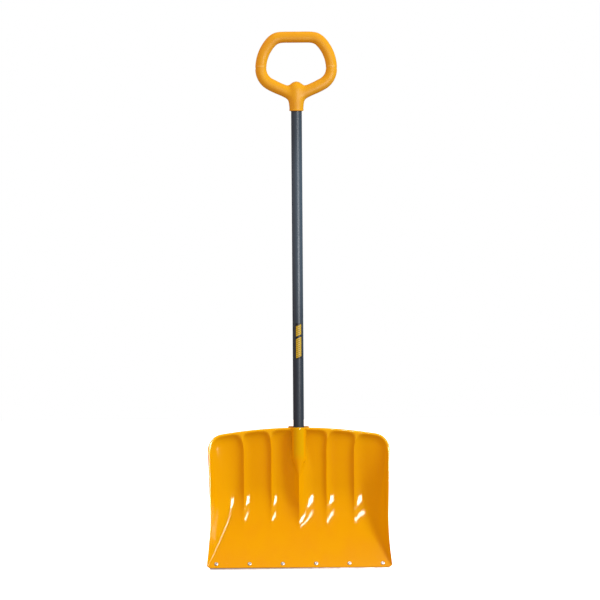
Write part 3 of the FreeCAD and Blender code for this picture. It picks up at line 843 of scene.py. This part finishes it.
        # the "lip" attribute is the mask of the painted highlight on the rim's lip
        lip = piece.data.attributes.new("lip", "FLOAT", "POINT")
        for index, vertex in enumerate(piece.data.vertices):
            column = round((vertex.co.x + 1.0) / 2.0 * columns)
            row = round((vertex.co.y + 1.0) / 2.0 * (len(rises) - 1))
            place = self.point(column / self.columns - 3.0, rises[row])
            lip.data[index].value = self.lip_highlight_share(place.x, place.z)
            vertex.co = place * MM
        piece.data.update()
        if piece.data.polygons[len(piece.data.polygons) // 2].normal.y > 0:
            edit_all(piece, bpy.ops.mesh.flip_normals)
        apply_modifier(piece, "SOLIDIFY", thickness=self.wall * MM, offset=-1.0, use_even_offset=True)
        for vertex in piece.data.vertices:
            edge = self.side_half(vertex.co.z / MM) * MM
            vertex.co.x = min(max(vertex.co.x, -edge), edge)
        return apply_modifier(piece, "TRIANGULATE")

    def rear_socket(self) -> bpy.types.Object:
        """Barrel, ledge and screw pad behind the sheet."""
        low = self.tube_foot - 10.0
        half = self.ledge / 2
        piece = block("socket_ledge", self.at(0.3 - half, self.back, low + 0.7),
                      self.at(half - 0.3, self.back + 5.7, self.socket_top - 4.3), 2.2 * MM, 4)
        collar = block("socket_collar", self.at(-half, self.back - 9.5, self.socket_top - self.collar),
                       self.at(half, self.back + 6.0, self.socket_top), 2.4 * MM, 4)
        combine(piece, collar, Cut.JOIN)
        pad = block("socket_pad", self.at(-8.0, self.axis + 1.3, low + 4.0),
                    self.at(8.0, self.axis + self.pad, self.socket_top - 4.0), 2.2 * MM, 4)
        barrel = rod("socket_barrel", (self.socket_radius - 0.6) * MM, self.at(0.0, self.axis, low),
                     self.at(0.0, self.axis, self.height - 1.0), 96)
        apply_modifier(barrel, "BEVEL", width=1.2 * MM, segments=3, limit_method="ANGLE")
        combine(piece, pad, Cut.JOIN)
        return combine(piece, barrel, Cut.JOIN)

    def at(self, x: float, y: float, z: float) -> Point:
        """Point in metres from millimetres."""
        return (x * MM, y * MM, z * MM)

    def build(self) -> bpy.types.Object:
        """Model the whole scoop."""
        piece = self.sheet()
        combine(piece, self.rear_socket(), Cut.JOIN)
        bore = rod("bore", self.tube_radius * MM, self.at(0.0, self.axis, self.tube_foot),
                   self.at(0.0, self.axis, self.socket_top + 9.0), 96)
        combine(piece, bore, Cut.DRILL)
        for index in range(1, 7):
            low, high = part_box(f"rivet_{index}")
            middle = (low + high) / 2
            drill = rod("drill", 2.45 * MM, middle - self.out * 12 * MM, middle + self.out * 12 * MM, 32)
            combine(piece, drill, Cut.DRILL)
        smooth_by_angle(piece, 42.0)
        dress(piece, ScoopPoly().material())
        return hand_over(piece, Slot.SCOOP, "blade")


# ------------------------------------------------------------------ grip
@dataclass
class LoopGrip:
    """Closed-loop hand grip: bar, shoulders, arms and neck in one moulding. Millimetres."""

    top: float = 1329.5
    section: float = 14.6
    flat: float = 34.0
    shoulder: float = 38.0
    side: float = 97.9
    corner: float = 43.5
    turn: float = 48.0
    fall: float = 25.0
    neck_foot: float = 1131.9
    neck_radius: float = 17.8
    neck_top: float = 1204.9
    bore: float = 13.35
    bore_top: float = 1195.0
    voxel: float = 1.5

    def __post_init__(self) -> None:
        """Line the neck up with the tube."""
        self.axis = tube_axis() / MM

    def path(self) -> list[tuple[float, float, float]]:
        """Centreline of the right half, as (x, z, section radius), from the top bar down."""
        x, z, angle = 0.0, self.top - 14.75, 0.0
        made = [(x, z, 14.75), (self.flat * 0.5, z, 14.75), (self.flat, z, 14.75)]
        x = self.flat
        legs = ((self.shoulder, self.turn, 4, 14.3), (self.side, 90 - self.turn, 4, 13.8),
                (self.corner, 90 - self.fall, 5, 14.9))
        for radius, turn, count, section in legs:
            centre = (x - radius * math.sin(math.radians(angle)), z - radius * math.cos(math.radians(angle)))
            start = made[-1][2]
            for k in range(1, count + 1):
                now = math.radians(angle + turn * k / count)
                made.append((centre[0] + radius * math.sin(now), centre[1] + radius * math.cos(now),
                             start + (section - start) * k / count))
            angle += turn
            x, z = made[-1][0], made[-1][1]
        for share, section in ((0.35, 15.4), (0.7, 16.0), (1.0, 16.0)):
            fall = math.tan(math.radians(self.fall))
            made.append((x * (1 - share), z - x * share * fall, section))
        return made

    def loop(self) -> bpy.types.Object:
        """Round bar swept round the closed loop."""
        right = self.path()
        ring = right + [(-x, z, section) for x, z, section in reversed(right[1:-1])]
        clear_selection()
        bpy.ops.curve.primitive_bezier_circle_add(radius=0.1)
        piece = named("grip_loop")
        piece.data.splines.clear()
        spline = piece.data.splines.new("BEZIER")
        spline.bezier_points.add(len(ring) - 1)
        for bead, (x, z, section) in zip(spline.bezier_points, ring):
            bead.co = (x * MM, self.axis * MM, z * MM)
            bead.handle_left_type = bead.handle_right_type = "AUTO"
            bead.radius = section
        spline.use_cyclic_u = True
        spline.resolution_u = 10
        piece.data.bevel_depth = MM
        piece.data.bevel_resolution = 14
        piece.data.twist_mode = "Z_UP"
        settle(piece)
        bpy.ops.object.convert(target="MESH")
        return tidy(bpy.context.active_object)

    def neck(self) -> bpy.types.Object:
        """Barrel of the neck with its dome."""
        radius = self.neck_radius + 2.0
        cap = 20.0
        dome = self.neck_top + 1.6 - cap
        foot = self.neck_foot
        profile = [(0.0, foot), (16.6, foot), (17.1, foot + 4.0), (18.0, foot + 9.0), (18.9, foot + 14.0),
                   (radius, foot + 24.0)]
        profile += [(radius * math.cos(a), dome + cap * math.sin(a))
                    for a in (math.radians(6 * k) for k in range(15))]
        profile.append((0.0, dome + cap))
        place = Matrix.Translation((0.0, self.axis * MM, 0.0))
        return turned("grip_neck", [(r * MM, z * MM) for r, z in profile], 64, place)

    def bead(self) -> bpy.types.Object:
        """Rounded bead round the foot of the neck."""
        foot = self.neck_foot
        profile = [(12.0, foot), (16.0, foot), (16.9, foot + 0.4), (17.5, foot + 1.2), (17.8, foot + 2.3),
                   (17.7, foot + 3.4), (17.3, foot + 4.3), (16.4, foot + 4.9), (12.0, foot + 5.0), (12.0, foot)]
        place = Matrix.Translation((0.0, self.axis * MM, 0.0))
        return turned("grip_bead", [(r * MM, z * MM) for r, z in profile], 96, place)

    def soften_crotch(self, piece: bpy.types.Object) -> None:
        """Blend the arms into the neck by smoothing only round their meeting."""
        group = piece.vertex_groups.new(name="crotch")
        for vertex in piece.data.vertices:
            x, z = abs(vertex.co.x) / MM, vertex.co.z / MM
            weight = (1.0 - smooth(x, 36.0, 54.0)) * smooth(z, self.neck_foot + 4.0, self.neck_foot + 14.0)
            group.add([vertex.index], weight, "REPLACE")
        apply_modifier(piece, "SMOOTH", factor=0.5, iterations=150, vertex_group="crotch")

    def build(self) -> bpy.types.Object:
        """Model the grip."""
        piece = combine(self.loop(), self.neck(), Cut.JOIN)
        piece.name = "grip_poly"
        apply_modifier(piece, "REMESH", mode="VOXEL", voxel_size=self.voxel * MM)
        apply_modifier(piece, "SMOOTH", factor=0.5, iterations=6)
        self.soften_crotch(piece)
        apply_modifier(piece, "TRIANGULATE")
        combine(piece, self.bead(), Cut.JOIN)
        axis = self.axis * MM
        bore = rod("bore", self.bore * MM, (0.0, axis, (self.neck_foot - 9.0) * MM), (0.0, axis, self.bore_top * MM), 96)
        combine(piece, bore, Cut.DRILL)
        apply_modifier(piece, "TRIANGULATE")
        low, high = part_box("grip_screw")
        height = (low.z + high.z) / 2
        seat = rod("seat", 5.0 * MM, (0.0, axis + 16.6 * MM, height), (0.0, axis + 30 * MM, height), 48)
        combine(piece, seat, Cut.DRILL)
        smooth_by_angle(piece, 50.0)
        dress(piece, GripPoly().material())
        return hand_over(piece, Slot.GRIP, "grip")


# ------------------------------------------------------------------ tube and label
@dataclass
class HandleTube:
    """Painted steel tube. Millimetres."""

    radius: float = 13.3
    wall: float = 1.2

    def build(self) -> bpy.types.Object:
        """Model the tube with its drawn, slightly rounded ends."""
        low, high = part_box("handle_tube")
        r, w = self.radius * MM, self.wall * MM
        ease = 0.3 * MM
        foot, top = low.z, high.z
        steps = 24
        outer = [(r, foot + ease + (top - foot - 2 * ease) * k / steps) for k in range(steps + 1)]
        profile = [(r - w + ease, foot), (r - ease, foot), *outer, (r - ease, top), (r - w + ease, top),
                   (r - w, top - ease), (r - w, foot + ease), (r - w + ease, foot)]
        piece = turned("handle_tube_painted", profile, 96, Matrix.Translation((0.0, tube_axis(), 0.0)))
        smooth_by_angle(piece, 35.0)
        dress(piece, TubePaint().material())
        return hand_over(piece, Slot.TUBE, "handle_tube")


# ------------------------------------------------------------------ strip, rivets and screws
@dataclass
class EdgeHardware:
    """Wear strip, blind rivets with their stubs, and rear screws. Millimetres."""

    slope: float = 0.62
    strip: float = 1.2
    wall: float = 3.0
    rise: float = 14.2
    pitch: float = 82.2
    length: float = 443.0
    height: float = 32.0
    zinc: BrushedMetal = field(default_factory=lambda: BrushedMetal(
        "zinc_plate", (0.70, 0.70, 0.72), (0.50, 0.50, 0.50), 0.24))
    rolled: BrushedMetal = field(default_factory=lambda: BrushedMetal(
        "rivet_aluminium", (0.84, 0.86, 0.88), (0.50, 0.52, 0.55), 0.24, metallic=0.80))
    galvanised: BrushedMetal = field(default_factory=lambda: BrushedMetal(
        "galvanised_sheet", (0.72, 0.70, 0.66), (0.52, 0.51, 0.49), 0.36, 0.25, metallic=0.45))

    def __post_init__(self) -> None:
        """Directions along and out of the floor."""
        tilt = math.atan(self.slope)
        self.up = Vector((0.0, math.sin(tilt), math.cos(tilt)))
        self.out = Vector((0.0, -math.cos(tilt), math.sin(tilt)))

    def seat(self, index: int) -> Vector:
        """Where a rivet's head meets the scoop, in metres; index counts from 0."""
        x = (index - 2.5) * self.pitch
        return (Vector((x, 0.0, 0.0)) + self.up * self.rise + self.out * (self.strip / 2 + self.wall)) * MM

    def rivet_profile(self) -> list[tuple[float, float]]:
        """Domed head, shank and rolled tail of a blind rivet, round its bore."""
        back = -self.wall - self.strip
        points = [(1.25, back - 3.4), (1.25, 0.62), (1.42, 0.92), (1.75, 1.22), (2.3, 1.38), (3.0, 1.34),
                  (3.8, 1.12), (4.5, 0.74), (4.88, 0.4), (4.98, 0.2), (4.9, 0.04), (4.7, 0.0), (2.4, 0.0),
                  (2.4, back), (3.5, back), (3.75, back - 0.35), (3.75, back - 1.1), (3.4, back - 2.0),
                  (2.8, back - 2.9), (2.3, back - 3.4), (1.25, back - 3.4)]
        return [(r * MM, z * MM) for r, z in points]

    def stem_profile(self) -> list[tuple[float, float]]:
        """Broken mandrel stub: ragged top, plain shank and bulb."""
        back = -self.wall - self.strip
        points = [(0.0, 0.42), (0.5, 0.5), (0.95, 0.36), (1.24, 0.2), (1.24, back - 3.45), (2.0, back - 3.45),
                  (2.12, back - 3.9), (1.95, back - 4.7), (1.3, back - 5.1), (0.0, back - 5.2)]
        return [(r * MM, z * MM) for r, z in points]

    def build_rivets(self) -> None:
        """Model one rivet and one stub and copy them along the edge."""
        metal = self.rolled.material()
        plated = self.zinc.material()
        for name, node, profile, finish, slot in (
                ("rivet_body", "rivet_{}", self.rivet_profile(), metal, Slot.RIVET),
                ("mandrel_stub", "rivet_stem_{}", self.stem_profile(), plated, Slot.ZINC)):
            first = turned(f"{name}_1", profile, 48, Matrix.Identity(4))
            smooth_by_angle(first, 50.0)
            dress(first, finish)
            pattern = first.data.copy()
            for index in range(6):
                if index == 0:
                    piece = first
                else:
                    piece = bpy.data.objects.new(f"{name}_{index + 1}", pattern.copy())
                    bpy.context.scene.collection.objects.link(piece)
                turn = Matrix.Rotation(0.9 * index, 4, "Z")
                piece.data.transform(facing(self.seat(index), self.out) @ turn)
                hand_over(piece, slot, node.format(index + 1))
            bpy.data.meshes.remove(pattern)

    def build_strip(self) -> bpy.types.Object:
        """Sheared sheet strip with eased edges and drilled for the rivets."""
        half, thick = self.length / 2 * MM, self.strip / 2 * MM
        clear_selection()
        bpy.ops.mesh.primitive_cube_add(size=1.0)
        piece = named("wear_strip_steel")
        piece.scale = (2 * half, self.height * MM, 2 * thick)
        piece.location = (0.0, self.height / 2 * MM, 0.0)
        settle(piece)
        take(piece)
        group = [e.index for e in piece.data.edges
                 if abs(piece.data.vertices[e.vertices[0]].co.z - piece.data.vertices[e.vertices[1]].co.z) > thick]
        weights = piece.data.attributes.new("bevel_weight_edge", "FLOAT", "EDGE")
        for index in group:
            weights.data[index].value = 1.0
        apply_modifier(piece, "BEVEL", width=4.0 * MM, segments=6, limit_method="WEIGHT")
        apply_modifier(piece, "BEVEL", width=0.22 * MM, segments=2, limit_method="ANGLE", angle_limit=math.radians(50))
        for index in range(6):
            x = (index - 2.5) * self.pitch * MM
            drill = rod("drill", 2.45 * MM, (x, self.rise * MM, -0.01), (x, self.rise * MM, 0.01), 32)
            combine(piece, drill, Cut.DRILL)
        turn = Matrix((( 1.0, 0.0, 0.0), (0.0, self.up.y, self.out.y), (0.0, self.up.z, self.out.z))).to_4x4()
        piece.data.transform(turn)
        smooth_by_angle(piece, 35.0)
        dress(piece, self.galvanised.material())
        return hand_over(piece, Slot.STRIP, "wear_strip")

    def build_screws(self) -> None:
        """Pan-head screws with a slot, at the rear."""
        plated = self.zinc.material()
        head = [(0.0, 2.6), (1.3, 2.56), (2.5, 2.35), (3.5, 1.85), (4.1, 1.15), (4.3, 0.45), (4.22, 0.1),
                (4.0, 0.0), (2.1, 0.0)]
        thread = []
        for k in range(6):
            z = -0.5 - k * 1.1
            thread += [(1.75, z), (2.1, z - 0.5)]
        profile = head + thread + [(1.7, -6.9), (0.9, -8.3), (0.0, -9.0)]
        for name in ("socket_screw_1", "socket_screw_2", "grip_screw"):
            low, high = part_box(name)
            seat = Vector((0.0, high.y - 2.6 * MM, (low.z + high.z) / 2))
            piece = turned(f"{name}_zinc", [(r * MM, z * MM) for r, z in profile], 48, Matrix.Identity(4))
            slot = block("slot", (-2.6 * MM, -0.45 * MM, 1.4 * MM), (2.6 * MM, 0.45 * MM, 4.0 * MM), 0.05 * MM, 1)
            combine(piece, slot, Cut.DRILL)
            piece.data.transform(facing(seat, (0.0, 1.0, 0.0)))
            smooth_by_angle(piece, 35.0)
            dress(piece, plated)
            hand_over(piece, Slot.ZINC, name)

    def build(self) -> None:
        """Model all the metal parts of the scoop."""
        self.build_strip()
        self.build_rivets()
        self.build_screws()


# ------------------------------------------------------------------ studio
@dataclass
class Studio:
    """Floor, soft light and camera."""

    span: float = 1.4825
    distance: float = 24.0
    aim: Point = (0.0056, 0.04, 0.6640)
    roll: float = 0.395
    world: float = 0.68
    mirrored: float = 0.03
    ambient: Point = (1.36, 0.94, 0.80)
    daylight: Point = (0.76, 1.0, 1.0)
    falloff: float = 0.45

    def floor(self) -> None:
        """Pale floor just under the strip."""
        low, _ = CAD_BOX
        clear_selection()
        bpy.ops.mesh.primitive_plane_add(size=60.0, location=(0.0, 0.0, low.z - 0.0002))
        piece = named("studio_floor")
        dress(piece, StudioFloor().material())
        piece.visible_diffuse = False
        piece.visible_glossy = False

    def sky(self) -> None:
        """Even white surroundings."""
        world = bpy.data.worlds.new("studio")
        bpy.context.scene.world = world
        world.use_nodes = True
        nodes, links = world.node_tree.nodes, world.node_tree.links
        path = nodes.new("ShaderNodeLightPath")
        way = nodes.new("ShaderNodeSeparateXYZ")
        links.new(nodes.new("ShaderNodeTexCoord").outputs["Generated"], way.inputs[0])
        grade = nodes.new("ShaderNodeMath")
        grade.operation = "MULTIPLY_ADD"
        links.new(way.outputs["Z"], grade.inputs[0])
        grade.inputs[1].default_value = self.world * self.falloff
        grade.inputs[2].default_value = self.world
        seen = None
        for colour, strength, ray in ((self.ambient, self.world, None), (self.ambient, self.mirrored, "Is Glossy Ray"),
                                      ((1.0, 1.0, 1.0), 1.0, "Is Camera Ray")):
            light = nodes.new("ShaderNodeBackground")
            light.inputs["Color"].default_value = rgba(colour)
            light.inputs["Strength"].default_value = strength
            if ray is None:
                links.new(grade.outputs[0], light.inputs["Strength"])
                seen = light.outputs[0]
                continue
            chooser = nodes.new("ShaderNodeMixShader")
            links.new(path.outputs[ray], chooser.inputs[0])
            links.new(seen, chooser.inputs[1])
            links.new(light.outputs[0], chooser.inputs[2])
            seen = chooser.outputs[0]
        links.new(seen, nodes["World Output"].inputs["Surface"])

    def sun(self, azimuth: float, elevation: float, spread: float, power: float) -> None:
        """Main light from the right; azimuth is measured from the camera's side, in degrees."""
        data = bpy.data.lights.new("main", "SUN")
        data.angle = math.radians(spread)
        data.energy = power
        data.color = self.daylight
        lamp = bpy.data.objects.new("main", data)
        bpy.context.scene.collection.objects.link(lamp)
        lamp.matrix_world = facing((0.0, -3.0, 3.0), self.towards(azimuth, elevation))
        lamp.visible_glossy = False

    def towards(self, azimuth: float, elevation: float) -> Vector:
        """Direction from the object to a light."""
        a, e = math.radians(azimuth), math.radians(elevation)
        return Vector((math.sin(a) * math.cos(e), -math.cos(a) * math.cos(e), math.sin(e)))

    def window(self, name: str, target: Point, azimuth: float, elevation: float, away: float,
               size: tuple[float, float], radiance: float) -> None:
        """Small bright panel whose mirror image shows as a crisp highlight."""
        place = Vector(target) + self.towards(azimuth, elevation) * away
        lamp = self.lamp(name, place, target, size, radiance * math.pi * size[0] * size[1])
        lamp.visible_diffuse = False
        lamp.visible_camera = False

    def lamp(self, name: str, place: Point, target: Point, size: tuple[float, float],
             power: float) -> bpy.types.Object:
        """Rectangular soft lamp aimed at a point."""
        data = bpy.data.lights.new(name, "AREA")
        data.shape = "RECTANGLE"
        data.size, data.size_y = size
        data.energy = power
        lamp = bpy.data.objects.new(name, data)
        bpy.context.scene.collection.objects.link(lamp)
        lamp.matrix_world = facing(place, Vector(place) - Vector(target))
        return lamp

    def camera(self) -> None:
        """Level long-lens camera in front, rolled to the object's slight lean."""
        data = bpy.data.cameras.new("camera")
        data.sensor_width = 36.0
        data.lens = data.sensor_width * self.distance / self.span
        data.clip_end = 100.0
        camera = bpy.data.objects.new("camera", data)
        bpy.context.scene.collection.objects.link(camera)
        place = Vector(self.aim) + Vector((0.0, -self.distance, 0.0))
        roll = Matrix.Rotation(math.radians(-self.roll), 4, "Z")
        camera.matrix_world = Matrix.Translation(place) @ Matrix.Rotation(math.radians(90), 4, "X") @ roll
        bpy.context.scene.camera = camera

    def build(self) -> None:
        """Set the whole studio."""
        self.floor()
        self.sky()
        self.sun(58.0, 28.0, 14.0, 1.9)
        self.window("upper_window", (0.110, 0.06, 0.173), 24.0, 25.0, 1.4, (0.66, 0.27), 30.0)
        self.window("lower_window", (0.110, 0.05, 0.119), 24.0, 47.0, 1.4, (0.66, 0.12), 22.0)
        self.window("grip_panel", (0.0, 0.084, 1.23), 38.0, 20.0, 2.0, (0.45, 0.40), 2.4)
        self.camera()
        bpy.context.scene.view_settings.view_transform = "Standard"


def main() -> None:
    """Build the shovel from the ground up, then the studio."""
    logging.basicConfig(level=logging.INFO, format="%(message)s")
    Scoop().build()
    EdgeHardware().build()
    HandleTube().build()
    dress_node("tube_label", LabelFilm().material())
    LoopGrip().build()
    Studio().build()


if __name__ == "__main__":
    main()
